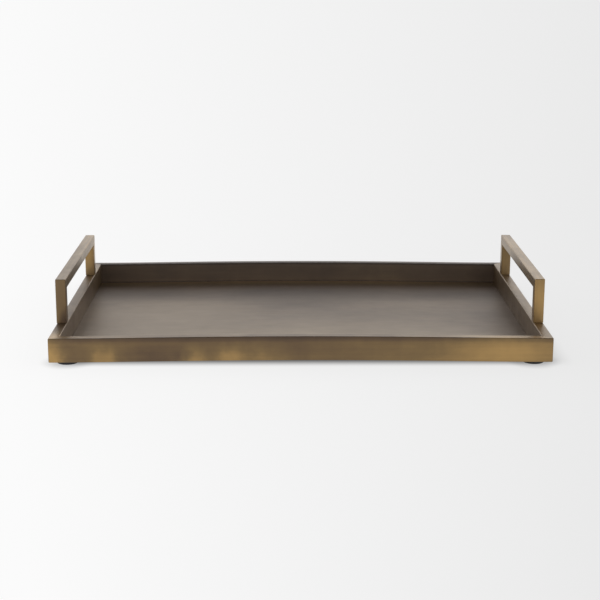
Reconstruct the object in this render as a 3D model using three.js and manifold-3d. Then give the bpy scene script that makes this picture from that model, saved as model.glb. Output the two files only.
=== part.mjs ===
// Rectangular serving tray in antique brass: four mitred box-section rails round a sheet floor, a
// square-edged bar handle screwed to each end rail from inside the rail, and four round rubber feet on
// adhesive discs.
//
// Millimetres. +X is the tray's length (right), +Y its depth (back), +Z up. The origin is on the surface
// that the tray stands on, under the middle of the tray.
import * as THREE from 'three';
import { mergeVertices } from 'three/addons/utils/BufferGeometryUtils.js';
import Module from 'manifold-3d';

// ---- Tray body ----
const TRAY_LENGTH = 508;
const TRAY_WIDTH = 356;
const RAIL_HEIGHT = 25;
const RAIL_THICKNESS = 10.6;
const TUBE_WALL = 1.2;
const PANEL_THICKNESS = 2;
const CROWN = 2.2; // how far the middle of the long rails and of the floor arches above their ends
const CROWN_FULLNESS = 1.5; // the arch's exponent: above 1, its ends run out level
const CROWN_FACETS = 25; // odd, so that the middle of the floor is one level facet
const JOINT_GAP = 0.1; // filler or film left between pieces that are soldered, glued or pulled together

// ---- Handles ----
const HANDLE_LENGTH = 236;
const HANDLE_HEIGHT = 47;
const BAR_WIDTH = 10.6; // across the rail
const BAR_DEPTH = 10.8; // in the plane of the handle's loop

// ---- Handle screws ----
const SCREW_DIAMETER = 4;
const SCREW_LENGTH = 12; // under the head
const SCREW_HEAD_HEIGHT = 4;
const SCREW_TIP_CHAMFER = 0.6;
const SOCKET_ACROSS_CORNERS = 3.4;
const SOCKET_DEPTH = 2;
const SCREW_CLEARANCE = 0.25; // radial, in the rail's hole and in the leg, whose thread is plain here
const HEAD_CLEARANCE = 0.6; // each side, from the screw's head to the tube's inner faces
const ACCESS_CLEARANCE = 0.3; // radial, from the screw's head to the hole that it is passed in through
const LEG_HOLE_RUN_OUT = 2.5; // hole left beyond the screw's tip

// ---- Feet ----
const FOOT_DIAMETER = 22;
const FOOT_TAPER = 0.6; // the foot's underside is this much smaller in radius
const FOOT_EDGE_RADIUS = 0.9;
const FOOT_INSET = 17; // the foot's centre from both outer faces of its corner
const UNDERSIDE_HEIGHT = 4; // the rails' underside above the surface
const ADHESIVE_THICKNESS = 0.6;
const ADHESIVE_MARGIN = 0.8; // the adhesive disc is this much smaller in radius than the foot

const FOOT_SEGMENTS = 40;
const EDGE_SEGMENTS = 4;
const SCREW_SEGMENTS = 24;
const HEXAGON = 6;
const OVERCUT = 1; // cutters reach this far past what they cut
const MERGE_DISTANCE = 1e-4; // vertices closer than this are one

// ---- Places that follow from the dimensions ----
const HALF_LENGTH = TRAY_LENGTH / 2;
const HALF_WIDTH = TRAY_WIDTH / 2;
const CROWN_SPAN = HALF_LENGTH - RAIL_THICKNESS; // half the arched length, between the end rails
const MITRE_TRIM = JOINT_GAP / Math.SQRT2; // taken off each bar's run at a mitre, to leave the joint's gap
const RAIL_TOP = UNDERSIDE_HEIGHT + RAIL_HEIGHT;
const LEG_BASE = RAIL_TOP + JOINT_GAP;
const HANDLE_TOP = RAIL_TOP + HANDLE_HEIGHT;
const GRIP_UNDERSIDE = HANDLE_TOP - BAR_DEPTH;
const LEG_CENTRE = (HANDLE_LENGTH - BAR_DEPTH) / 2; // from the handle's middle
const HEAD_RADIUS = RAIL_THICKNESS / 2 - TUBE_WALL - HEAD_CLEARANCE;
const HEAD_SEAT = RAIL_TOP - TUBE_WALL - JOINT_GAP; // the head bears on the rail's top wall, from inside
const SCREW_HOLE_RADIUS = SCREW_DIAMETER / 2 + SCREW_CLEARANCE;
const LONG_RAIL_Y = RAIL_THICKNESS / 2 - HALF_WIDTH; // a rail's middle line, where its side faces -Y
const END_RAIL_Y = RAIL_THICKNESS / 2 - HALF_LENGTH;
const ADHESIVE_TOP = UNDERSIDE_HEIGHT - JOINT_GAP;
const FOOT_TOP = ADHESIVE_TOP - ADHESIVE_THICKNESS - JOINT_GAP;

// ---- Materials ----
const brass = (color, roughness) => new THREE.MeshStandardMaterial({ color, roughness, metalness: 1 });
const RAIL_BRASS = brass(0x6b5539, 0.42);
const FLOOR_BRASS = brass(0x5f5041, 0.38);
const HANDLE_BRASS = brass(0x715a3c, 0.42);
const SCREW_BRASS = brass(0x8a7448, 0.35);
const RUBBER = new THREE.MeshStandardMaterial({ color: 0x151515, roughness: 0.85, metalness: 0 });
const ADHESIVE = new THREE.MeshStandardMaterial({ color: 0xb9b6ac, roughness: 0.9, metalness: 0 });

const wasm = await Module();
wasm.setup();

// ---- Solids ----
// A three.js geometry as a manifold-3d solid.
function solid(geometry) {
  const bare = geometry.clone();
  bare.deleteAttribute('normal');
  bare.deleteAttribute('uv');
  const merged = mergeVertices(bare, MERGE_DISTANCE);
  const mesh = new wasm.Mesh({
    numProp: 3,
    vertProperties: new Float32Array(merged.attributes.position.array),
    triVerts: new Uint32Array(merged.index.array),
  });
  return new wasm.Manifold(mesh);
}

// A manifold-3d solid as a three.js geometry.
function geometryOf(made) {
  const mesh = made.getMesh();
  const geometry = new THREE.BufferGeometry();
  geometry.setAttribute('position', new THREE.BufferAttribute(mesh.vertProperties, mesh.numProp));
  geometry.setIndex(new THREE.BufferAttribute(mesh.triVerts, 1));
  geometry.computeVertexNormals();
  return geometry;
}

// A plan outline, pushed up from z = low to z = high.
function upright(points, low, high) {
  const shape = new THREE.Shape(points.map(([x, y]) => new THREE.Vector2(x, y)));
  const geometry = new THREE.ExtrudeGeometry(shape, { depth: high - low, bevelEnabled: false });
  return geometry.translate(0, 0, low);
}

// An outline in the XZ plane, pushed from y = -halfDepth to y = halfDepth.
function across(points, halfDepth) {
  return upright(points, -halfDepth, halfDepth).rotateX(Math.PI / 2);
}

// An upright round bar.
function round(radius, low, high, segments, x = 0) {
  const geometry = new THREE.CylinderGeometry(radius, radius, high - low, segments);
  return geometry.rotateX(Math.PI / 2).translate(x, 0, (low + high) / 2);
}

// A profile of [radius, z] points from the axis back to the axis, turned about Z.
function turned(profile, segments) {
  const points = profile.map(([radius, z]) => new THREE.Vector2(radius, z));
  return new THREE.LatheGeometry(points, segments).rotateX(Math.PI / 2);
}

// ---- The arch ----
function crownAt(x) {
  return CROWN * Math.max(0, 1 - (x / CROWN_SPAN) ** 2) ** CROWN_FULLNESS;
}

// A bar along X whose underside and top both follow the arch.
function archedBar(halfLength, low, high, halfDepth) {
  const ends = [-halfLength, halfLength];
  const edge = (_, i) => CROWN_SPAN * (2 * i / CROWN_FACETS - 1);
  const facets = Array.from({ length: CROWN_FACETS + 1 }, edge);
  const along = [...ends, ...facets.filter((x) => Math.abs(x) < halfLength)].sort((a, b) => a - b);
  const under = along.map((x) => [x, low + crownAt(x)]);
  const over = along.map((x) => [x, high + crownAt(x)]).reverse();
  return across([...under, ...over], halfDepth);
}

function straightBar(halfLength, low, high, halfDepth) {
  return across([[-halfLength, low], [halfLength, low], [halfLength, high], [-halfLength, high]], halfDepth);
}

// ---- Rails ----
// Each rail is made along X with its outer face towards -Y, and turned to its side of the tray afterwards.
function rail(halfLength, bar) {
  const halfDepth = RAIL_THICKNESS / 2;
  const outside = bar(halfLength, UNDERSIDE_HEIGHT, RAIL_TOP, halfDepth);
  const inside = bar(
    halfLength + OVERCUT,
    UNDERSIDE_HEIGHT + TUBE_WALL,
    RAIL_TOP - TUBE_WALL,
    halfDepth - TUBE_WALL,
  );
  const outer = halfLength - MITRE_TRIM;
  const inner = outer - RAIL_THICKNESS;
  const plan = [[-outer, -halfDepth], [outer, -halfDepth], [inner, halfDepth], [-inner, halfDepth]];
  const mitred = solid(upright(plan, UNDERSIDE_HEIGHT - OVERCUT, RAIL_TOP + CROWN + OVERCUT));
  return solid(outside).subtract(solid(inside)).intersect(mitred);
}

// The end rail with each screw's hole in its top wall, and below it the wider hole that the screw goes in
// through.
function drilledFor(endRail) {
  const middle = (UNDERSIDE_HEIGHT + RAIL_TOP) / 2;
  return [-LEG_CENTRE, LEG_CENTRE].reduce((drilled, x) => {
    const screwHole = round(SCREW_HOLE_RADIUS, middle, RAIL_TOP + OVERCUT, SCREW_SEGMENTS, x);
    const accessRadius = HEAD_RADIUS + ACCESS_CLEARANCE;
    const accessHole = round(accessRadius, UNDERSIDE_HEIGHT - OVERCUT, middle, SCREW_SEGMENTS, x);
    return drilled.subtract(solid(screwHole)).subtract(solid(accessHole));
  }, endRail);
}

// ---- Floor ----
function floorPanel() {
  const halfDepth = HALF_WIDTH - RAIL_THICKNESS - JOINT_GAP;
  return archedBar(CROWN_SPAN - JOINT_GAP, UNDERSIDE_HEIGHT, UNDERSIDE_HEIGHT + PANEL_THICKNESS, halfDepth);
}

// ---- Handles ----
// A handle is made along X, like the rail that it stands on.
function grip() {
  const over = HANDLE_LENGTH / 2 - MITRE_TRIM;
  const under = over - BAR_DEPTH;
  const outline = [
    [-under, GRIP_UNDERSIDE],
    [under, GRIP_UNDERSIDE],
    [over, HANDLE_TOP],
    [-over, HANDLE_TOP],
  ];
  return across(outline, BAR_WIDTH / 2);
}

// The leg at the handle's +X end, with the hole for its screw.
function leg() {
  const outer = HANDLE_LENGTH / 2;
  const inner = outer - BAR_DEPTH;
  const outline = [
    [inner, LEG_BASE],
    [outer, LEG_BASE],
    [outer, HANDLE_TOP - MITRE_TRIM],
    [inner, GRIP_UNDERSIDE - MITRE_TRIM],
  ];
  const holeTop = HEAD_SEAT + SCREW_LENGTH + LEG_HOLE_RUN_OUT;
  const hole = round(SCREW_HOLE_RADIUS, LEG_BASE - OVERCUT, holeTop, SCREW_SEGMENTS, LEG_CENTRE);
  return solid(across(outline, BAR_WIDTH / 2)).subtract(solid(hole));
}

// A cap screw, head down, with a hexagon socket. Its axis is the Z axis.
function handleScrew() {
  const radius = SCREW_DIAMETER / 2;
  const head = HEAD_SEAT - SCREW_HEAD_HEIGHT;
  const tip = HEAD_SEAT + SCREW_LENGTH;
  const profile = [
    [0, head],
    [HEAD_RADIUS, head],
    [HEAD_RADIUS, HEAD_SEAT],
    [radius, HEAD_SEAT],
    [radius, tip - SCREW_TIP_CHAMFER],
    [radius - SCREW_TIP_CHAMFER, tip],
    [0, tip],
  ];
  const socket = round(SOCKET_ACROSS_CORNERS / 2, head - OVERCUT, head + SOCKET_DEPTH, HEXAGON);
  return solid(turned(profile, SCREW_SEGMENTS)).subtract(solid(socket));
}

// ---- Feet ----
// A low round foot that widens upwards, with its lower edge rounded.
function foot() {
  const radius = FOOT_DIAMETER / 2;
  const edgeCentre = radius - FOOT_TAPER - FOOT_EDGE_RADIUS;
  const edge = Array.from({ length: EDGE_SEGMENTS + 1 }, (_, i) => {
    const angle = (i / EDGE_SEGMENTS) * (Math.PI / 2);
    return [edgeCentre + FOOT_EDGE_RADIUS * Math.sin(angle), FOOT_EDGE_RADIUS * (1 - Math.cos(angle))];
  });
  return turned([[0, 0], ...edge, [radius, FOOT_TOP], [0, FOOT_TOP]], FOOT_SEGMENTS);
}

function adhesiveDisc() {
  const radius = FOOT_DIAMETER / 2 - ADHESIVE_MARGIN;
  return round(radius, ADHESIVE_TOP - ADHESIVE_THICKNESS, ADHESIVE_TOP, FOOT_SEGMENTS);
}

// ---- Assembly ----
const tray = new THREE.Group();

function place(parent, name, geometry, material, x = 0, y = 0) {
  const mesh = new THREE.Mesh(geometry, material);
  mesh.name = name;
  mesh.position.set(x, y, 0);
  parent.add(mesh);
}

// A group turned so that its -Y side is the named side of the tray.
function side(turn) {
  const group = new THREE.Group();
  group.rotation.z = turn;
  tray.add(group);
  return group;
}

place(tray, 'floor_panel', floorPanel(), FLOOR_BRASS);

const longRail = geometryOf(rail(HALF_LENGTH, archedBar));
place(side(0), 'front_rail', longRail, RAIL_BRASS, 0, LONG_RAIL_Y);
place(side(Math.PI), 'back_rail', longRail, RAIL_BRASS, 0, LONG_RAIL_Y);

const endRail = geometryOf(drilledFor(rail(HALF_WIDTH, straightBar)));
const gripBar = grip();
const legBar = geometryOf(leg());
const screw = geometryOf(handleScrew());

// One end of the tray: its rail, and the handle on the rail's middle line. legs names the leg at the
// group's +X end first. The other leg and its screw are the same pieces, half a turn round.
function end(name, turn, legs) {
  const group = side(turn);
  place(group, `${name}_rail`, endRail, RAIL_BRASS, 0, END_RAIL_Y);
  place(group, `${name}_handle_grip`, gripBar, HANDLE_BRASS, 0, END_RAIL_Y);
  legs.forEach((where, halfTurns) => {
    const half = new THREE.Group();
    half.position.y = END_RAIL_Y;
    half.rotation.z = halfTurns * Math.PI;
    group.add(half);
    place(half, `${name}_handle_${where}_leg`, legBar, HANDLE_BRASS);
    place(half, `${name}_handle_${where}_screw`, screw, SCREW_BRASS, LEG_CENTRE);
  });
}

end('right', Math.PI / 2, ['back', 'front']);
end('left', -Math.PI / 2, ['front', 'back']);

const footX = HALF_LENGTH - FOOT_INSET;
const footY = HALF_WIDTH - FOOT_INSET;
const footBody = foot();
const disc = adhesiveDisc();
for (const [depth, y] of [['front', -footY], ['back', footY]]) {
  for (const [hand, x] of [['left', -footX], ['right', footX]]) {
    place(tray, `${depth}_${hand}_foot`, footBody, RUBBER, x, y);
    place(tray, `${depth}_${hand}_adhesive_disc`, disc, ADHESIVE, x, y);
  }
}

export default tray;
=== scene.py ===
"""Antique brass serving tray with bar handles: the looks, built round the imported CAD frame.

Metres, +X along the tray (right), +Y away from the front, +Z up, origin on the surface under its middle.
Every place and size of the tray comes from the frame's boxes; the values below are for finish and detail.
"""
import math

import bmesh
import bpy
from mathutils import Matrix, Vector, noise


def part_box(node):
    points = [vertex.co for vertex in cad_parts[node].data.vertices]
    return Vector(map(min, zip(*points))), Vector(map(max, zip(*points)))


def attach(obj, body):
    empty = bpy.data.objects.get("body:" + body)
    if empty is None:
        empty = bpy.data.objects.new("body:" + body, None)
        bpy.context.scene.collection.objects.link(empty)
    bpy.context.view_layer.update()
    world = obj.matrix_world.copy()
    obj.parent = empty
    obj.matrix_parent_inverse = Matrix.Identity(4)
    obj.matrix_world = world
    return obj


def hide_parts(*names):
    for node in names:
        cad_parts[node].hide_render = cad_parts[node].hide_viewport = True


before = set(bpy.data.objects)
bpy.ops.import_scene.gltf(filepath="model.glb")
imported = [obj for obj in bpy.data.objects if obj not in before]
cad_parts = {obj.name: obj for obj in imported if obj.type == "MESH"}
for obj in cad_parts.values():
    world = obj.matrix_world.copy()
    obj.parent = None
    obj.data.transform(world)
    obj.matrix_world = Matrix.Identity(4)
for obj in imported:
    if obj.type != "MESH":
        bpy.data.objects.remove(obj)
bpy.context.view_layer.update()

MM = 0.001
BODY = "root"

# ---- Detail that the CAD solids leave out ----
RAIL_EDGE_RADIUS = 0.9 * MM
HANDLE_EDGE_RADIUS = 0.8 * MM
TUBE_WALL = 1.2 * MM
BORE_EDGE_RADIUS = 0.4 * MM
SEAM = 0.02 * MM              # half of the hairline left at a mitre
MITRE_RELIEF = 0.3 * MM       # length of the stretch where a mitred bar's rings close up
BASE_EDGE_RADIUS = 0.3 * MM   # round a leg's foot
ARC_STEPS = 4
FACE_STEPS = 4
RAIL_RINGS = 96
HANDLE_RINGS = 30
LEG_RINGS = 10
DRIFT = 0.06 * MM             # how far hand-finished faces wander from true
DRIFT_LENGTH = 90 * MM
DRIFT_FADE = 40 * MM          # the rails run true again near their mitres
FLOOR_DRIFT = 0.16 * MM
FLOOR_DRIFT_LENGTH = 130 * MM
FLOOR_DRIFT_FADE = 50 * MM
FLOOR_DRIFT_SHIFT = Vector((3.1, 1.147, -3.1))
FLOOR_COLUMNS, FLOOR_ROWS = 120, 84

HEAD_HEIGHT = 4 * MM          # a handle screw's head
HEAD_CHAMFER = 0.35 * MM
SHANK_RADIUS = 2 * MM
SOCKET_RADIUS = 1.7 * MM      # to the hexagon's corners
SOCKET_DEPTH = 2 * MM
THREAD_PITCH = 0.7 * MM
THREAD_DEPTH = 0.4 * MM
THREAD_ROWS = 6               # to each turn
THREAD_RUN_OUT = 1.6 * MM     # plain shank under the head
TIP_CHAMFER = 0.6 * MM
SCREW_SEGMENTS = 48
SCREW_HOLE_RADIUS = SHANK_RADIUS + 0.25 * MM
SCREW_HOLE_SPARE = 2 * MM     # above the screw's tip
ACCESS_CLEARANCE = 0.3 * MM   # round a head, in the rail's lower wall

TURNED_EDGE_STEPS = 6         # round the edge of a screw head or a foot

FOOT_SEGMENTS = 64
FOOT_EDGE_RADIUS = 0.5 * MM
FOOT_TAPER = 0.25 * MM        # the base is this much smaller all round than the top
FOOT_WAIST = 0.12 * MM
FOOT_WAIST_AT, FOOT_RIM_AT = 0.62, 0.8    # shares of a foot's height
FOOT_TOP_EDGE = 0.25 * MM
FOOT_TOP_IN, FOOT_TOP_DOWN = 0.08 * MM, 0.07 * MM    # a point partway round that edge
DISH_DEPTH = 0.35 * MM        # in a foot's underside
DISH_SLOPE_DEPTH = 0.10 * MM
DISH_FLAT, DISH_SLOPE, DISH_RIM = 0.55, 0.68, 0.74    # shares of the base's radius
DISC_PINCH = 0.08 * MM        # of a cut adhesive disc's edge
DISC_RING = 0.5               # a ring that keeps the disc's faces even, as a share of its radius

SHARP_ANGLE = 50              # degrees; faces that meet more sharply have a crease between them
SCREW_SHARP_ANGLE = 40
FOOT_SHARP_ANGLE = 60
FLAT_FACE_WEIGHT = 80
WELD = 1e-7


def size_of(node_name):
    low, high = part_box(node_name)
    return high - low


def middle_of(node_name):
    low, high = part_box(node_name)
    return (low + high) / 2


# ---- Sizes read from the frame ----
HALF_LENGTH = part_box("right_rail")[1].x
HALF_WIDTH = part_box("back_rail")[1].y
RAIL_THICKNESS = size_of("right_rail").x
RAIL_HEIGHT = size_of("right_rail").z
RAIL_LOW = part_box("right_rail")[0].z
RAIL_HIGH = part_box("right_rail")[1].z
RAIL_MIDDLE = (RAIL_LOW + RAIL_HIGH) / 2
ARCH = size_of("front_rail").z - RAIL_HEIGHT
ARCH_SPAN = HALF_LENGTH - RAIL_THICKNESS
ARCH_POWER = 1.5
BAR_WIDTH = size_of("right_handle_grip").x
BAR_DEPTH = size_of("right_handle_grip").z
HANDLE_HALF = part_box("right_handle_back_leg")[1].y
HANDLE_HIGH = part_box("right_handle_grip")[1].z
LEG_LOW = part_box("right_handle_back_leg")[0].z
PANEL_THICKNESS = size_of("floor_panel").z - ARCH


def arch(x):
    """How far the long rails and the floor rise above their ends."""
    return ARCH * max(0.0, 1 - (x / ARCH_SPAN) ** 2) ** ARCH_POWER


def fade(distance, length):
    """From 0 at an edge to 1 at length or more from it."""
    return min(1.0, max(0.0, distance / length))


# ---- Mesh helpers ----
def piece(replaced, bm, material, sharp_angle=SHARP_ANGLE):
    """A finished mesh object that stands for a CAD node."""
    bmesh.ops.remove_doubles(bm, verts=bm.verts, dist=WELD)
    bmesh.ops.recalc_face_normals(bm, faces=bm.faces)
    name = replaced + "_visual"
    mesh = bpy.data.meshes.new(name)
    bm.to_mesh(mesh)
    bm.free()
    mesh.shade_smooth()
    mesh.set_sharp_from_angle(angle=math.radians(sharp_angle))
    made = bpy.data.objects.new(name, mesh)
    bpy.context.scene.collection.objects.link(made)
    mesh.materials.append(material)
    weighted = made.modifiers.new("flat_faces", "WEIGHTED_NORMAL")
    weighted.keep_sharp = True
    weighted.weight = FLAT_FACE_WEIGHT
    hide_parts(replaced)
    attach(made, BODY)
    return made


def between(start, end, share):
    """The point a share of the way from one point to another."""
    return tuple(a + (b - a) * share for a, b in zip(start, end))


def arc(centre_a, centre_b, radius, start, end, steps):
    """Points (a, b) round a rounded edge, from one angle in degrees to another."""
    angles = [math.radians(start + (end - start) * step / steps) for step in range(steps + 1)]
    return [(centre_a + radius * math.cos(angle), centre_b + radius * math.sin(angle)) for angle in angles]


def rounded_section(depth, half_width, inset, radius):
    """Points (d, w) round a rounded rectangle, d from the outer face inwards, w across the bar."""
    near = inset + radius
    far = depth - inset - radius
    side = half_width - inset - radius
    corners = [(far, -side, -90), (far, side, 0), (near, side, 90), (near, -side, 180)]
    bends = [arc(d, w, radius, start, start + 90, ARC_STEPS) for d, w, start in corners]
    points = []
    for bend, following in zip(bends, bends[1:] + bends[:1]):
        points += bend
        points += [between(bend[-1], following[0], step / FACE_STEPS) for step in range(1, FACE_STEPS)]
    return points


def mitre_ring(section, half_length, radius, turn):
    """A ring of (u, d, w) near a joint at 45 degrees; turn goes from 0 to 1 at the joint itself."""
    ring = []
    for d, w in section:
        if d < radius:
            angle = math.radians(45) * turn
            u = half_length - radius + (radius - d) * math.sin(angle)
            ring.append((u, radius - (radius - d) * math.cos(angle), w))
        else:
            ring.append((half_length - d - MITRE_RELIEF * (1 - turn), d, w))
    return ring


def mitre_rings(section, half_length, radius):
    """The rings of a bar's mitred end, out to the hairline at the joint."""
    turns = [step / ARC_STEPS for step in range(ARC_STEPS + 1)]
    return [mitre_ring(section, half_length - SEAM, radius, turn) for turn in turns]


def base_rings(section, depth):
    """The rings that round off a bar's square-cut end, from the end at u = 0 inwards."""
    half_width = max(w for _, w in section)
    rings = []
    for step in range(ARC_STEPS, -1, -1):
        angle = math.radians(90) * step / ARC_STEPS
        shrink = BASE_EDGE_RADIUS * (1 - math.cos(angle))
        u = BASE_EDGE_RADIUS * (1 - math.sin(angle))
        rings.append([
            (u, depth / 2 + (d - depth / 2) * (1 - 2 * shrink / depth), w * (1 - shrink / half_width))
            for d, w in section
        ])
    return rings


def bar(low, high, stretches):
    """All the rings of a bar: its two ends, and evenly spaced rings along the straight run between them."""
    run = [
        [between(a, b, step / stretches) for a, b in zip(low[-1], high[0])]
        for step in range(1, stretches)
    ]
    return low + run + high


def mitred_bar(section, half_length, radius, stretches):
    """All the rings of a bar that has a mitre at both ends."""
    high = mitre_rings(section, half_length, radius)
    low = [[(-u, d, w) for u, d, w in ring] for ring in reversed(high)]
    return bar(low, high, stretches)


def skin(bm, rings, place):
    """Vertices and side faces for a row of rings."""
    rows = [[bm.verts.new(place(*point)) for point in ring] for ring in rings]
    count = len(rows[0])
    for row, following in zip(rows, rows[1:]):
        for i in range(count):
            j = (i + 1) % count
            bm.faces.new((row[i], row[j], following[j], following[i]))
    return rows


def solid_bar(rings, place):
    bm = bmesh.new()
    rows = skin(bm, rings, place)
    bm.faces.new(rows[0])
    bm.faces.new(list(reversed(rows[-1])))
    return bm


def tube(outer, inner, place):
    """An open-ended tube: an outer and an inner skin, joined round both ends."""
    bm = bmesh.new()
    outside = skin(bm, outer, place)
    inside = skin(bm, inner, place)
    count = len(outside[0])
    for end in (0, -1):
        for i in range(count):
            j = (i + 1) % count
            bm.faces.new((outside[end][i], outside[end][j], inside[end][j], inside[end][i]))
    return bm


def turned(centre, profile, segments, radius_at=None):
    """A solid of revolution from (radius, height) points that start and end on its upright axis."""
    bm = bmesh.new()
    rows = []
    for radius, height in profile:
        if radius == 0.0:
            rows.append([bm.verts.new((centre.x, centre.y, height))])
            continue
        row = []
        for step in range(segments):
            angle = 2 * math.pi * step / segments
            r = radius_at(radius, height, step / segments) if radius_at else radius
            x, y = centre.x + r * math.cos(angle), centre.y + r * math.sin(angle)
            row.append(bm.verts.new((x, y, height)))
        rows.append(row)
    for row, following in zip(rows, rows[1:]):
        for i in range(segments):
            j = (i + 1) % segments
            corners = [row[i % len(row)], row[j % len(row)]]
            corners += [following[j % len(following)], following[i % len(following)]]
            bm.faces.new(dict.fromkeys(corners))
    return bm


def drill(made, x, y, low, high, radius, sides=32):
    """Cuts an upright hole, round or with a few flat sides, into a finished piece."""
    bm = bmesh.new()
    place = Matrix.Translation((x, y, (low + high) / 2))
    bmesh.ops.create_cone(
        bm, cap_ends=True, segments=sides, radius1=radius, radius2=radius, depth=high - low, matrix=place
    )
    mesh = bpy.data.meshes.new("cutter")
    bm.to_mesh(mesh)
    bm.free()
    cutter = bpy.data.objects.new("cutter", mesh)
    bpy.context.scene.collection.objects.link(cutter)
    cut = made.modifiers.new("drill", "BOOLEAN")
    cut.operation = "DIFFERENCE"
    cut.solver = "EXACT"
    cut.object = cutter
    bpy.context.view_layer.objects.active = made
    while made.modifiers[0] != cut:
        bpy.ops.object.modifier_move_up(modifier=cut.name)
    bpy.ops.object.modifier_apply(modifier=cut.name)
    bpy.data.objects.remove(cutter)
    made.data.set_sharp_from_angle(angle=math.radians(SHARP_ANGLE))


# ---- Shader helpers ----
def node(tree, kind, inputs=None, **settings):
    """A shader node; inputs gives each socket, by its name or number, a value or the socket that feeds it."""
    made = tree.nodes.new(kind)
    for key, value in settings.items():
        setattr(made, key, value)
    for key, value in (inputs or {}).items():
        socket = made.inputs[key]
        if isinstance(value, bpy.types.NodeSocket):
            tree.links.new(value, socket)
        else:
            socket.default_value = value
    return made


def maths(tree, operation, a, b=0.0):
    return node(tree, "ShaderNodeMath", {0: a, 1: b}, operation=operation).outputs[0]


def vector_maths(tree, operation, *values):
    made = node(tree, "ShaderNodeVectorMath", dict(enumerate(values)), operation=operation)
    return made.outputs["Value" if operation in ("LENGTH", "DISTANCE") else "Vector"]


def mix(tree, factor, a, b, blend="MIX"):
    made = node(tree, "ShaderNodeMix", {0: factor, 6: a, 7: b}, data_type="RGBA", blend_type=blend)
    return made.outputs[2]


def smooth(tree, value, low, high, to_low=0.0, to_high=1.0):
    """Eases from to_low, where the value is low, to to_high, where it is high."""
    inputs = dict(enumerate((value, low, high, to_low, to_high)))
    return node(tree, "ShaderNodeMapRange", inputs, interpolation_type="SMOOTHSTEP").outputs[0]


def noise_value(tree, place, scale, detail, roughness, colour=False):
    """A noise pattern around 0.5, or three of them at once as a colour."""
    inputs = {"Vector": place, "Scale": scale, "Detail": detail, "Roughness": roughness}
    return node(tree, "ShaderNodeTexNoise", inputs).outputs["Color" if colour else 0]


def around_zero_noise(tree, place, pattern):
    """Three noise patterns at once, each around 0, as a vector."""
    return vector_maths(tree, "SUBTRACT", noise_value(tree, place, *pattern, colour=True), (0.5, 0.5, 0.5))


def object_place(tree):
    return node(tree, "ShaderNodeTexCoord").outputs["Object"]


def stretched(tree, place, scale, shift=(0.0, 0.0, 0.0)):
    """The place, scaled along each axis and then shifted."""
    return node(tree, "ShaderNodeMapping", {"Vector": place, "Location": shift, "Scale": scale}).outputs[0]


def add_bumps(tree, shader, height, strength, depth, normal=None):
    """Small bumps, over a normal that is already tilted if there is one."""
    inputs = {"Height": height, "Strength": strength, "Distance": depth}
    if normal is not None:
        inputs["Normal"] = normal
    made = node(tree, "ShaderNodeBump", inputs)
    tree.links.new(made.outputs[0], shader.inputs["Normal"])


def new_material(name):
    material = bpy.data.materials.new(name)
    material.use_nodes = True
    shader = material.node_tree.nodes["Principled BSDF"]
    return material, material.node_tree, shader


def grey(level):
    return (level, level, level, 1)


# ---- Antique brass ----
# Linear colours of the patina, from the deepest brown to bare polished brass
DEEP_BROWN = (0.070, 0.045, 0.031, 1)
BROWN = (0.118, 0.075, 0.041, 1)
BRONZE = (0.192, 0.125, 0.054, 1)
GOLD = (0.385, 0.240, 0.088, 1)
BROWN_AT, BRONZE_AT = 0.3, 0.58       # where they lie between 0 and 1
LACQUER, LACQUER_ROUGHNESS = 0.36, 0.48

# Noise patterns of the patina, each as its scale, detail and roughness
WIDE_CLOUDS = (22.0, 2.0, 0.45)
SMALL_CLOUDS = (75.0, 3.0, 0.55)
WIPE_MARKS = (45.0, 2.0, 0.6)
BRUSH_STREAKS = (420.0, 2.0, 0.6)
RAGGED_EDGES = (90.0, 2.0, 0.5)
SCRATCHES = (2600.0, 0.0, 0.5)

WIDE_CLOUD_CONTRAST, SMALL_CLOUD_CONTRAST, WIPE_CONTRAST = 0.30, 0.24, 0.20
CLOUD_STRETCH, STREAK_STRETCH = 0.45, 0.03    # scale along the grain against 1 across it
WIPE_SCALE = (1.0, 1.0, 0.25)
RAGGEDNESS = (16 * MM, 0.0, 10 * MM)  # how far the edges of the wear and of the painted light wander
SEED_SHIFT = (1.7, 0.9, 1.3)
SCRATCH_TILT = 0.07
SCRATCH_BUMP = 0.03 * MM
STREAK_ROUGHNESS = 0.16
DARKEST, BAREST = -0.4, 0.9           # the shades between which the roughness changes
# roughness added where the shade is darkest, in deep patina and painted shade lines alike, and taken off
# where it is barest
DARK_ROUGHNESS, BARE_ROUGHNESS = 0.30, -0.05


def unbent(tree, place):
    """The place with the rise of the arch taken out, so that marks follow the arched edges."""
    x, y, z = node(tree, "ShaderNodeSeparateXYZ", {"Vector": place}).outputs[:3]
    share = maths(tree, "MULTIPLY", x, 1 / ARCH_SPAN)
    inside = maths(tree, "SUBTRACT", 1.0, maths(tree, "MULTIPLY", share, share))
    inside = maths(tree, "MAXIMUM", inside, 0.0)
    rise = maths(tree, "MULTIPLY", maths(tree, "POWER", inside, ARCH_POWER), ARCH)
    level = maths(tree, "SUBTRACT", z, rise)
    return node(tree, "ShaderNodeCombineXYZ", {"X": x, "Y": y, "Z": level}).outputs[0]


def mark(tree, place, shade, centre, reach, strength):
    """The shade with one soft mark added; it is lighter where the strength is above 0."""
    scale = [1 / r for r in reach]
    shift = [-c / r for c, r in zip(centre, reach)]
    distance = vector_maths(tree, "LENGTH", stretched(tree, place, scale, shift))
    return maths(tree, "ADD", shade, smooth(tree, distance, 0.0, 1.0, strength, 0.0))


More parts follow.
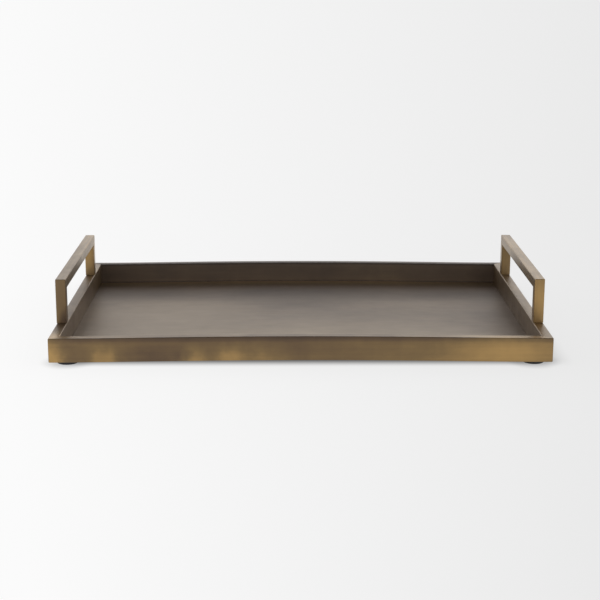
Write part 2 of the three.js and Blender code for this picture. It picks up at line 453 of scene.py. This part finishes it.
def patina_shade(tree, place, clouded, streaks, tone, wear_and_painted_light, painted_shade_lines, mottle, brushed):
    """How much of the brass shows, from 0 (deepest brown) to 1, after clouds, streaks, rubbing, painted light
    and painted shade.
    """
    wiped = stretched(tree, place, WIPE_SCALE)
    shade = tone
    for value, amount in (
        (noise_value(tree, clouded, *WIDE_CLOUDS), WIDE_CLOUD_CONTRAST * mottle),
        (noise_value(tree, clouded, *SMALL_CLOUDS), SMALL_CLOUD_CONTRAST * mottle),
        (noise_value(tree, wiped, *WIPE_MARKS), WIPE_CONTRAST * mottle),
        (streaks, brushed),
    ):
        around_zero = maths(tree, "SUBTRACT", value, 0.5)
        shade = maths(tree, "ADD", shade, maths(tree, "MULTIPLY", around_zero, amount))
    warp = around_zero_noise(tree, place, RAGGED_EDGES)
    ragged = vector_maths(tree, "MULTIPLY_ADD", warp, RAGGEDNESS, place)
    # lighter and darker spots: wear in places, painted light, shade and reflections in others
    for centre, reach, strength in wear_and_painted_light:
        shade = mark(tree, ragged, shade, centre, reach, strength)
    # painted shade: dark lines along edges and seams, which keep to the arch
    straight = unbent(tree, place)
    for centre, reach, strength in painted_shade_lines:
        shade = mark(tree, straight, shade, centre, reach, -strength)
    return shade


def scratched_normal(tree, streaked, grain):
    """Brushing tilts the surface only across the grain, so it spreads reflections that way."""
    strength = [0.0 if axis == grain else SCRATCH_TILT for axis in "XYZ"]
    tilt = vector_maths(tree, "MULTIPLY", around_zero_noise(tree, streaked, SCRATCHES), strength)
    facing = node(tree, "ShaderNodeNewGeometry").outputs["Normal"]
    return vector_maths(tree, "NORMALIZE", vector_maths(tree, "ADD", facing, tilt))


def patina_colour(tree, shade, colourfulness):
    """From deep brown through brown and bronze to gold."""
    ramp = node(tree, "ShaderNodeValToRGB", {"Fac": shade})
    stops = ramp.color_ramp.elements
    stops[0].color = DEEP_BROWN
    stops[1].color = GOLD
    for position, colour in ((BROWN_AT, BROWN), (BRONZE_AT, BRONZE)):
        stops.new(position).color = colour
    inputs = {"Color": ramp.outputs[0], "Saturation": colourfulness}
    return node(tree, "ShaderNodeHueSaturation", inputs).outputs[0]


def antique_brass(name, grain, tone, wear_and_painted_light=(), painted_shade_lines=(), roughness=0.38, seed=0.0, mottle=1.0, brushed=0.16,
                  metal=0.94, colourfulness=1.0):
    """Brushed, antiqued and lacquered brass.

    grain is the axis that it is brushed along, and tone its overall shade, from 0 (deepest brown) to 1 (bare
    brass). wear_and_painted_light lists spots as (centre, reach, strength): lighter above 0, some rubbed
    through and some painted light, and darker below 0, some of them painted reflections. painted_shade_lines
    lists dark lines of painted shade in the same way, which keep to the arch. mottle and brushed are the
    contrast of the clouds and of the brush streaks. metal is how metallic the patina is, and colourfulness
    its saturation.
    """
    material, tree, shader = new_material(name)
    place = object_place(tree)
    offset = [seed * shift for shift in SEED_SHIFT]

    def along_grain(stretch):
        scale = [stretch if axis == grain else 1.0 for axis in "XYZ"]
        return stretched(tree, place, scale, offset)

    streaked = along_grain(STREAK_STRETCH)
    streaks = noise_value(tree, streaked, *BRUSH_STREAKS)
    clouded = along_grain(CLOUD_STRETCH)
    shade = patina_shade(tree, place, clouded, streaks, tone, wear_and_painted_light, painted_shade_lines, mottle, brushed)
    tree.links.new(patina_colour(tree, shade, colourfulness), shader.inputs["Base Color"])
    shader.inputs["Metallic"].default_value = metal
    shader.inputs["Coat Weight"].default_value = LACQUER
    shader.inputs["Coat Roughness"].default_value = LACQUER_ROUGHNESS
    uneven = maths(tree, "MULTIPLY", maths(tree, "SUBTRACT", streaks, 0.5), STREAK_ROUGHNESS)
    matt = smooth(tree, shade, DARKEST, BAREST, DARK_ROUGHNESS, BARE_ROUGHNESS)
    gloss = maths(tree, "ADD", maths(tree, "ADD", roughness, uneven), matt)
    tree.links.new(gloss, shader.inputs["Roughness"])
    scratched = scratched_normal(tree, streaked, grain)
    add_bumps(tree, shader, streaks, strength=0.5, depth=SCRATCH_BUMP, normal=scratched)
    return material


# ---- Other materials ----
RUBBER_GRAIN = (2200.0, 2.0, 0.6)
DUST = (140.0, 3.0, 0.6)
FOAM_CELLS = (1800.0, 3.0, 0.6)
TARNISH = (350.0, 4.0, 0.6)
RUBBER_BLACK, DUSTY_BLACK = (0.010, 0.010, 0.011, 1), (0.026, 0.025, 0.024, 1)
FOAM_SHADE, FOAM_LIGHT = (0.34, 0.32, 0.28, 1), (0.52, 0.50, 0.45, 1)
BRIGHT_BRASS, TARNISHED_BRASS = (0.50, 0.36, 0.15, 1), (0.24, 0.16, 0.08, 1)


def black_rubber():
    """Matt black rubber with a fine grain and a little dust."""
    material, tree, shader = new_material("foot_rubber")
    place = object_place(tree)
    grain = noise_value(tree, place, *RUBBER_GRAIN)
    dust = noise_value(tree, place, *DUST)
    colour = mix(tree, smooth(tree, dust, 0.45, 0.75), RUBBER_BLACK, DUSTY_BLACK)
    tree.links.new(colour, shader.inputs["Base Color"])
    tree.links.new(smooth(tree, dust, 0.3, 0.8, 0.62, 0.85), shader.inputs["Roughness"])
    add_bumps(tree, shader, grain, strength=0.6, depth=0.05 * MM)
    return material


def foam_tape():
    """Pale foam, with its cells showing."""
    material, tree, shader = new_material("foot_adhesive")
    cells = noise_value(tree, object_place(tree), *FOAM_CELLS)
    colour = mix(tree, cells, FOAM_SHADE, FOAM_LIGHT)
    tree.links.new(colour, shader.inputs["Base Color"])
    shader.inputs["Roughness"].default_value = 0.9
    add_bumps(tree, shader, cells, strength=0.8, depth=0.08 * MM)
    return material


def turned_brass():
    """Bright brass with spots of tarnish."""
    material, tree, shader = new_material("screw_brass")
    tarnish = noise_value(tree, object_place(tree), *TARNISH)
    colour = mix(tree, smooth(tree, tarnish, 0.35, 0.7), BRIGHT_BRASS, TARNISHED_BRASS)
    tree.links.new(colour, shader.inputs["Base Color"])
    shader.inputs["Metallic"].default_value = 1.0
    tree.links.new(smooth(tree, tarnish, 0.3, 0.7, 0.26, 0.45), shader.inputs["Roughness"])
    return material


# ---- Rails ----
# Where each side of the tray is: from (u along the rail, d from its outer face) to a place at z = 0
def front(u, d):
    return Vector((u, d - HALF_WIDTH, 0))


def back(u, d):
    return Vector((-u, HALF_WIDTH - d, 0))


def left(u, d):
    return Vector((d - HALF_LENGTH, -u, 0))


def right(u, d):
    return Vector((HALF_LENGTH - d, u, 0))


OUTER_SECTION = rounded_section(RAIL_THICKNESS, RAIL_HEIGHT / 2, 0.0, RAIL_EDGE_RADIUS)
INNER_SECTION = rounded_section(RAIL_THICKNESS, RAIL_HEIGHT / 2, TUBE_WALL, BORE_EDGE_RADIUS)


def rail(name, side, half_length, seed, arched, material):
    """One mitred box-section rail, its faces a little hollow here and there but never proud."""
    def place(u, d, w):
        where = Vector((u, w, seed * MM)) / DRIFT_LENGTH + Vector((seed, d, 0))
        hollow = DRIFT * fade(half_length - abs(u), DRIFT_FADE) * (1 + noise.noise(where))
        point = side(u, d + hollow * (1 - 2 * d / RAIL_THICKNESS))
        point.z = RAIL_MIDDLE + w * (1 - hollow / RAIL_HEIGHT) + (arch(u) if arched else 0.0)
        return point

    outer = mitred_bar(OUTER_SECTION, half_length, RAIL_EDGE_RADIUS, RAIL_RINGS)
    inner = mitred_bar(INNER_SECTION, half_length, RAIL_EDGE_RADIUS, RAIL_RINGS)
    return piece(name, tube(outer, inner, place), material)


# ---- Floor ----
def floor_panel(material):
    """The arched floor sheet: two faces joined round their edges."""
    low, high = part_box("floor_panel")
    half_x, half_y = high.x, high.y
    bm = bmesh.new()

    def sheet(base):
        rows = []
        for j in range(FLOOR_ROWS + 1):
            y = half_y * (2 * j / FLOOR_ROWS - 1)
            row = []
            for i in range(FLOOR_COLUMNS + 1):
                x = half_x * (2 * i / FLOOR_COLUMNS - 1)
                inside = fade(half_x - abs(x), FLOOR_DRIFT_FADE) * fade(half_y - abs(y), FLOOR_DRIFT_FADE)
                where = Vector((x, y, 0)) / FLOOR_DRIFT_LENGTH + FLOOR_DRIFT_SHIFT
                sag = FLOOR_DRIFT * noise.noise(where) * inside
                row.append(bm.verts.new((x, y, base + arch(x) + sag)))
            rows.append(row)
        return rows

    top, under = sheet(low.z + PANEL_THICKNESS), sheet(low.z)
    for j in range(FLOOR_ROWS):
        for i in range(FLOOR_COLUMNS):
            bm.faces.new((top[j][i], top[j][i + 1], top[j + 1][i + 1], top[j + 1][i]))
            bm.faces.new((under[j][i], under[j + 1][i], under[j + 1][i + 1], under[j][i + 1]))
    rim = [(0, i) for i in range(FLOOR_COLUMNS)]
    rim += [(j, FLOOR_COLUMNS) for j in range(FLOOR_ROWS)]
    rim += [(FLOOR_ROWS, i) for i in range(FLOOR_COLUMNS, 0, -1)]
    rim += [(j, 0) for j in range(FLOOR_ROWS, 0, -1)]
    for (a, b), (c, d) in zip(rim, rim[1:] + rim[:1]):
        bm.faces.new((top[a][b], under[a][b], under[c][d], top[c][d]))
    return piece("floor_panel", bm, material)


# ---- Handles ----
BAR_SECTION = rounded_section(BAR_DEPTH, BAR_WIDTH / 2, 0.0, HANDLE_EDGE_RADIUS)


def grip(name, centre_x, material):
    """The level bar of a handle, mitred to its two legs."""
    def place(u, d, w):
        return Vector((centre_x + w, u, HANDLE_HIGH - d))

    rings = mitred_bar(BAR_SECTION, HANDLE_HALF, HANDLE_EDGE_RADIUS, HANDLE_RINGS)
    return piece(name, solid_bar(rings, place), material)


def leg(name, centre_x, facing, material):
    """A leg, mitred at its top; facing is 1 for the back one and -1 for the front one."""
    def place(u, d, w):
        return Vector((centre_x + w, facing * (HANDLE_HALF - d), LEG_LOW + u))

    foot_end = base_rings(BAR_SECTION, BAR_DEPTH)
    top_end = mitre_rings(BAR_SECTION, HANDLE_HIGH - LEG_LOW, HANDLE_EDGE_RADIUS)
    return piece(name, solid_bar(bar(foot_end, top_end, LEG_RINGS), place), material)


# ---- Screws ----
def screw(name, material):
    """A cap screw, head down: a rolled thread that runs out under the head, and a hexagon socket."""
    low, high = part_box(name)
    centre = (low + high) / 2
    head_radius = (high.x - low.x) / 2
    seat = low.z + HEAD_HEIGHT
    start = seat + THREAD_RUN_OUT
    end = high.z - TIP_CHAMFER

    def thread(radius, height, share):
        if height < start or height > end:
            return radius
        turn = (height - start) / THREAD_PITCH - share
        return radius - THREAD_DEPTH * abs(2 * (turn % 1.0) - 1)

    profile = [(0.0, low.z), (head_radius - HEAD_CHAMFER, low.z)]
    profile += arc(head_radius - HEAD_CHAMFER, low.z + HEAD_CHAMFER, HEAD_CHAMFER, -90, 0, TURNED_EDGE_STEPS)
    profile += [(head_radius, seat - HEAD_CHAMFER / 3), (head_radius - HEAD_CHAMFER / 3, seat)]
    profile += [(SHANK_RADIUS, seat)]
    rows = round((end - start) / THREAD_PITCH * THREAD_ROWS)
    profile += [(SHANK_RADIUS, start + i * THREAD_PITCH / THREAD_ROWS) for i in range(rows + 1)]
    profile += [(SHANK_RADIUS - TIP_CHAMFER, high.z), (0.0, high.z)]
    solid = turned(centre, profile, SCREW_SEGMENTS, thread)
    made = piece(name, solid, material, SCREW_SHARP_ANGLE)
    drill(made, centre.x, centre.y, low.z - MM, low.z + SOCKET_DEPTH, SOCKET_RADIUS, sides=6)


# ---- Feet ----
def foot_part(name, profile, material):
    """A round part of a foot, from a profile whose heights start at the part's underside."""
    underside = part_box(name)[0].z
    raised = [(radius, underside + height) for radius, height in profile]
    piece(name, turned(middle_of(name), raised, FOOT_SEGMENTS), material, FOOT_SHARP_ANGLE)


def foot(name, material):
    """A moulded foot: a rounded lower edge, a shallow dish in its underside, and a slight waist."""
    low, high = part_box(name)
    radius, height = (high.x - low.x) / 2, high.z - low.z
    base = radius - FOOT_TAPER
    profile = [(0.0, DISH_DEPTH), (base * DISH_FLAT, DISH_DEPTH)]
    profile += [(base * DISH_SLOPE, DISH_SLOPE_DEPTH), (base * DISH_RIM, 0.0)]
    profile += arc(base - FOOT_EDGE_RADIUS, FOOT_EDGE_RADIUS, FOOT_EDGE_RADIUS, -90, 0, TURNED_EDGE_STEPS)
    profile += [(radius - FOOT_WAIST, height * FOOT_WAIST_AT), (radius, height * FOOT_RIM_AT)]
    profile += [(radius, height - FOOT_TOP_EDGE), (radius - FOOT_TOP_IN, height - FOOT_TOP_DOWN)]
    profile += [(radius - FOOT_TOP_EDGE, height), (0.0, height)]
    foot_part(name, profile, material)


def adhesive_disc(name, material):
    """A die-cut disc of foam tape, its cut edge a little pinched between its two faces."""
    low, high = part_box(name)
    radius, height = (high.x - low.x) / 2, high.z - low.z
    ring = radius * DISC_RING
    pinched = radius - DISC_PINCH
    profile = [(0.0, 0.0), (ring, 0.0), (pinched, 0.0), (radius, DISC_PINCH), (pinched, height / 2)]
    profile += [(radius, height - DISC_PINCH), (pinched, height), (ring, height), (0.0, height)]
    foot_part(name, profile, material)


# ---- Marks of use, painted light and painted shade, as (centre, reach, strength), in metres from the tray's middle ----
FRONT_Y = -HALF_WIDTH
END_X = HALF_LENGTH - 5 * MM          # along an end rail, near the middle of its thickness
SEAM_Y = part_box("floor_panel")[1].y   # where the floor meets the back rail
ALL_ALONG = 5.0                       # a reach far longer than the tray, for an even line
front_wear_and_painted_reflection = [
    ((-0.262, FRONT_Y, 0.006), (0.034, 0.02, 0.034), 0.86),
    ((-0.215, FRONT_Y, 0.015), (0.060, 0.02, 0.040), 0.08),
    ((-0.196, FRONT_Y, 0.001), (0.022, 0.02, 0.030), 0.44),
    ((-0.150, FRONT_Y, 0.006), (0.050, 0.02, 0.022), -0.10),
    ((-0.107, FRONT_Y, 0.002), (0.020, 0.02, 0.030), 0.38),
    ((-0.087, FRONT_Y, 0.006), (0.036, 0.02, 0.022), 0.18),
    ((-0.069, FRONT_Y, 0.004), (0.021, 0.02, 0.030), 0.24),
    ((-0.045, FRONT_Y, 0.005), (0.055, 0.02, 0.026), 0.34),
    # partly patina and partly painted reflection: the right part of the front face lighter
    ((0.215, FRONT_Y, 0.015), (0.260, 0.02, 0.060), 0.30),
    ((0.205, FRONT_Y, 0.013), (0.080, 0.02, 0.032), 0.30),
    ((-0.250, FRONT_Y + 6 * MM, RAIL_HIGH), (0.045, 0.012, 0.012), 0.44),
]
# painted shade: a darker band along the front rail's top edge
front_painted_shade = [((0.0, FRONT_Y, RAIL_HIGH - 0.5 * MM), (ALL_ALONG, 2.5 * MM, 6.5 * MM), 0.28)]
back_painted_shade = [
    # painted shade: a dark line at the foot of the back rail, where the floor meets it
    ((0.0, SEAM_Y, RAIL_LOW + PANEL_THICKNESS), (ALL_ALONG, 2 * MM, 1.2 * MM), 0.4),
    # painted shade: the back rail's top darker along its inner edge
    ((0.0, SEAM_Y + 1 * MM, RAIL_HIGH), (ALL_ALONG, 7 * MM, 3 * MM), 0.6),
]
end_wear_and_painted_light = [
    # painted light: the right rail's top lighter all along
    ((END_X, 0.0, RAIL_HIGH), (0.03, 0.4, 0.03), 0.18),
    ((-END_X, -0.175, RAIL_HIGH), (0.03, 0.035, 0.02), 0.50),
    ((0.240, -0.050, 0.016), (0.012, 0.300, 0.030), -0.22),
    ((-END_X, 0.130, RAIL_HIGH), (0.03, 0.060, 0.02), 0.20),
]
floor_wear_and_painted_reflection = [
    ((-0.150, 0.010, 0.0), (0.150, 0.110, 1.0), 0.14),
    ((-0.110, 0.110, 0.0), (0.080, 0.050, 1.0), 0.14),
    ((0.110, 0.110, 0.0), (0.080, 0.040, 1.0), 0.08),
    ((0.000, 0.050, 0.0), (0.100, 0.050, 1.0), -0.10),
    ((0.000, -0.130, 0.0), (0.400, 0.140, 1.0), 0.24),
    # painted reflection: the floor darker beside the right rail
    ((0.240, -0.030, 0.0), (0.080, 0.300, 1.0), -0.10),
    # painted reflection of the back rail: the floor lighter along the seam, then darker farther out
    ((0.000, SEAM_Y, 0.0), (0.600, 0.030, 1.0), 0.48),
    ((0.000, SEAM_Y - 0.060, 0.0), (0.500, 0.055, 1.0), -0.34),
]
# painted shade: a dark line along the floor where it meets the back rail
floor_painted_shade = [((0.0, SEAM_Y, 0.0), (ALL_ALONG, 1.0 * MM, 1.0), 0.4)]
leg_wear_and_painted_light = [
    # painted highlight: the middle of the right front leg
    ((END_X, -0.113, 0.055), (0.03, 0.03, 0.050), 0.40),
    # painted reflection: the left back leg lighter
    ((-END_X, 0.113, 0.055), (0.03, 0.03, 0.040), 0.44),
    ((-0.244, -0.118, 0.029), (0.012, 0.02, 0.022), -0.30),
    # painted reflection: the right back leg lighter
    ((0.244, 0.110, 0.050), (0.03, 0.03, 0.060), 0.16),
]
grip_wear_and_painted_light = [
    # painted light: the right grip's top lighter all along
    ((END_X, 0.0, HANDLE_HIGH), (0.03, 0.3, 0.05), 0.22),
    ((-END_X, 0.100, HANDLE_HIGH), (0.03, 0.150, 0.05), 0.14),
    ((-0.240, 0.0, HANDLE_HIGH - 7 * MM), (0.014, 0.3, 0.02), 0.12),
]

# ---- Build the tray ----
front_brass = antique_brass("front_rail_brass", "X", 0.37, front_wear_and_painted_reflection, front_painted_shade, seed=1.0)
back_brass = antique_brass(
    "back_rail_brass", "X", 0.26, painted_shade_lines=back_painted_shade, seed=1.5, metal=0.86, colourfulness=0.78
)
end_brass = antique_brass("end_rail_brass", "Y", 0.36, end_wear_and_painted_light, seed=2.0, metal=0.86)
floor_brass = antique_brass(
    "floor_brass", "X", 0.38, floor_wear_and_painted_reflection, floor_painted_shade,
    roughness=0.43, seed=3.0, mottle=0.5, brushed=0.10, metal=0.84, colourfulness=0.84,
)
leg_brass = antique_brass("leg_brass", "Z", 0.53, leg_wear_and_painted_light, seed=4.0, metal=0.88)
grip_brass = antique_brass("grip_brass", "Y", 0.44, grip_wear_and_painted_light, seed=5.0, brushed=0.50)
rubber = black_rubber()
tape = foam_tape()
screw_brass = turned_brass()

rail("front_rail", front, HALF_LENGTH, 11.0, True, front_brass)
rail("back_rail", back, HALF_LENGTH, 17.0, True, back_brass)
end_rails = {
    "left": rail("left_rail", left, HALF_WIDTH, 23.0, False, end_brass),
    "right": rail("right_rail", right, HALF_WIDTH, 29.0, False, end_brass),
}
floor_panel(floor_brass)

for hand, end_rail in end_rails.items():
    centre_x = middle_of(hand + "_handle_grip").x
    grip(hand + "_handle_grip", centre_x, grip_brass)
    for where, facing in (("front", -1), ("back", 1)):
        upright = leg(f"{hand}_handle_{where}_leg", centre_x, facing, leg_brass)
        screw_name = f"{hand}_handle_{where}_screw"
        screw(screw_name, screw_brass)
        y = middle_of(screw_name).y
        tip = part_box(screw_name)[1].z
        access_radius = size_of(screw_name).x / 2 + ACCESS_CLEARANCE
        drill(end_rail, centre_x, y, RAIL_LOW - MM, RAIL_MIDDLE, access_radius)
        drill(end_rail, centre_x, y, RAIL_MIDDLE, RAIL_HIGH + MM, SCREW_HOLE_RADIUS)
        drill(upright, centre_x, y, LEG_LOW - MM, tip + SCREW_HOLE_SPARE, SCREW_HOLE_RADIUS)

for corner in ("front_left", "front_right", "back_left", "back_right"):
    foot(corner + "_foot", rubber)
    adhesive_disc(corner + "_adhesive_disc", tape)


# ---- Stage, light and camera ----
CAMERA_PLACE = (-0.01797, -1.5504, 0.40844)
CAMERA_YAW, CAMERA_PITCH, CAMERA_ROLL = 0.01216, -0.24253, 0.00181    # radians
FOCAL_LENGTH, SENSOR_WIDTH = 85.18, 36.0                              # mm
FARTHEST_SEEN = 200

STAGE_REACH = 60.0
LEFT_GREY, RIGHT_GREY = 1.0, 0.853    # what the floor glows with at the two edges of the view
VIEW_EDGE = 0.217                     # those edges, as x over the distance in front of the camera
SHORTEST_AWAY = 0.8                   # keeps that share finite beside the camera
FLOOR_REFLECTS = 0.13
FLOOR_GLOW = 0.878
TRAY_SHADOW = 0.80                    # the glow that the painted shadow below the tray takes away
SHADOW_SPILL, SHADOW_FADE, SHADOW_FADE_RIGHT = 3 * MM, 27 * MM, 36 * MM
FOOT_SHADOW = 0.70                    # the share of the glow left beside a foot by its painted shadow
FOOT_SHADOW_REACH = 20 * MM

WALL_LIGHT, CEILING_LIGHT = 1.36, 0.06
CEILING_START, CEILING_FULL = 0.50, 0.90    # how far up a direction points where the ceiling begins
BEHIND_LIGHT = 0.80                         # the share of the light from straight behind the camera
BEHIND_FULL, BEHIND_START = -0.85, -0.2     # how far back a direction points there


def stage_colour(tree, x, y):
    """A little brighter on the left of the view."""
    away = maths(tree, "ABSOLUTE", maths(tree, "SUBTRACT", y, CAMERA_PLACE[1]))
    aside = maths(tree, "DIVIDE", x, maths(tree, "MAXIMUM", away, SHORTEST_AWAY))
    side = node(tree, "ShaderNodeMapRange", {0: aside, 1: VIEW_EDGE, 2: -VIEW_EDGE}).outputs[0]
    return mix(tree, side, grey(RIGHT_GREY), grey(LEFT_GREY))


def under_tray(tree, x, y):
    """The painted shadow below the tray, from 0 outside the tray's outline to 1 well under it."""
    under = 1.0
    for edge in (
        (y, -HALF_WIDTH - SHADOW_SPILL, -HALF_WIDTH + SHADOW_FADE, 0.0, 1.0),
        (y, HALF_WIDTH - SHADOW_FADE, HALF_WIDTH + SHADOW_SPILL, 1.0, 0.0),
        (x, -HALF_LENGTH - SHADOW_SPILL, -HALF_LENGTH + SHADOW_FADE, 0.0, 1.0),
        (x, HALF_LENGTH - SHADOW_FADE_RIGHT, HALF_LENGTH + SHADOW_FADE, 1.0, 0.0),
    ):
        under = maths(tree, "MULTIPLY", under, smooth(tree, *edge))
    return under


def beside_feet(tree, place):
    """The share of the glow left by the painted shadow round the feet, which are at the same place in each
    quarter.
    """
    centre = middle_of("back_right_foot")
    radius = size_of("back_right_foot").x / 2
    quarter = vector_maths(tree, "ABSOLUTE", place)
    distance = vector_maths(tree, "DISTANCE", quarter, (centre.x, centre.y, 0))
    return smooth(tree, distance, radius, radius + FOOT_SHADOW_REACH, FOOT_SHADOW, 1.0)


def stage_floor():
    """A wide pale floor that glows, a little brighter on the left, and is dark only below the tray, where a
    shadow is painted.
    """
    mesh = bpy.data.meshes.new("stage_floor")
    corners = [(x * STAGE_REACH, y * STAGE_REACH, 0) for x, y in ((-1, -1), (1, -1), (1, 1), (-1, 1))]
    mesh.from_pydata(corners, [], [(0, 1, 2, 3)])
    floor = bpy.data.objects.new("stage_floor", mesh)
    bpy.context.scene.collection.objects.link(floor)
    material, tree, shader = new_material("stage_floor")
    place = object_place(tree)
    x, y = node(tree, "ShaderNodeSeparateXYZ", {"Vector": place}).outputs[:2]
    colour = stage_colour(tree, x, y)
    shadow = maths(tree, "MULTIPLY", under_tray(tree, x, y), TRAY_SHADOW)
    glow = maths(tree, "MULTIPLY", maths(tree, "SUBTRACT", FLOOR_GLOW, shadow), beside_feet(tree, place))
    tree.links.new(mix(tree, 1.0, colour, grey(FLOOR_REFLECTS), "MULTIPLY"), shader.inputs["Base Color"])
    tree.links.new(colour, shader.inputs["Emission Color"])
    tree.links.new(glow, shader.inputs["Emission Strength"])
    shader.inputs["Roughness"].default_value = 1.0
    shader.inputs["Specular IOR Level"].default_value = 0.0
    mesh.materials.append(material)


def studio_light():
    """A white studio, with a dark ceiling and a little less light from straight behind the camera."""
    world = bpy.data.worlds.new("studio")
    bpy.context.scene.world = world
    world.use_nodes = True
    tree = world.node_tree
    direction = node(tree, "ShaderNodeTexCoord").outputs["Generated"]
    _, y, z = node(tree, "ShaderNodeSeparateXYZ", {"Vector": direction}).outputs[:3]
    by_height = smooth(tree, z, CEILING_START, CEILING_FULL, WALL_LIGHT, CEILING_LIGHT)
    by_depth = smooth(tree, y, BEHIND_FULL, BEHIND_START, BEHIND_LIGHT, 1.0)
    background = tree.nodes["Background"]
    background.inputs["Color"].default_value = grey(1)
    tree.links.new(maths(tree, "MULTIPLY", by_height, by_depth), background.inputs["Strength"])


def camera():
    """A long lens in front of the tray and a little above it."""
    data = bpy.data.cameras.new("camera")
    data.sensor_width = SENSOR_WIDTH
    data.lens = FOCAL_LENGTH
    data.clip_end = FARTHEST_SEEN
    made = bpy.data.objects.new("camera", data)
    bpy.context.scene.collection.objects.link(made)
    flat = math.cos(CAMERA_PITCH)
    ahead = Vector((math.sin(CAMERA_YAW) * flat, math.cos(CAMERA_YAW) * flat, math.sin(CAMERA_PITCH)))
    level = Vector((math.cos(CAMERA_YAW), -math.sin(CAMERA_YAW), 0))
    upright = level.cross(ahead)
    across = math.cos(CAMERA_ROLL) * level + math.sin(CAMERA_ROLL) * upright
    up = math.cos(CAMERA_ROLL) * upright - math.sin(CAMERA_ROLL) * level
    turn = Matrix((across, up, -ahead)).transposed()
    made.matrix_world = Matrix.Translation(CAMERA_PLACE) @ turn.to_4x4()
    bpy.context.scene.camera = made


stage_floor()
studio_light()
camera()
bpy.context.scene.view_settings.view_transform = "Standard"
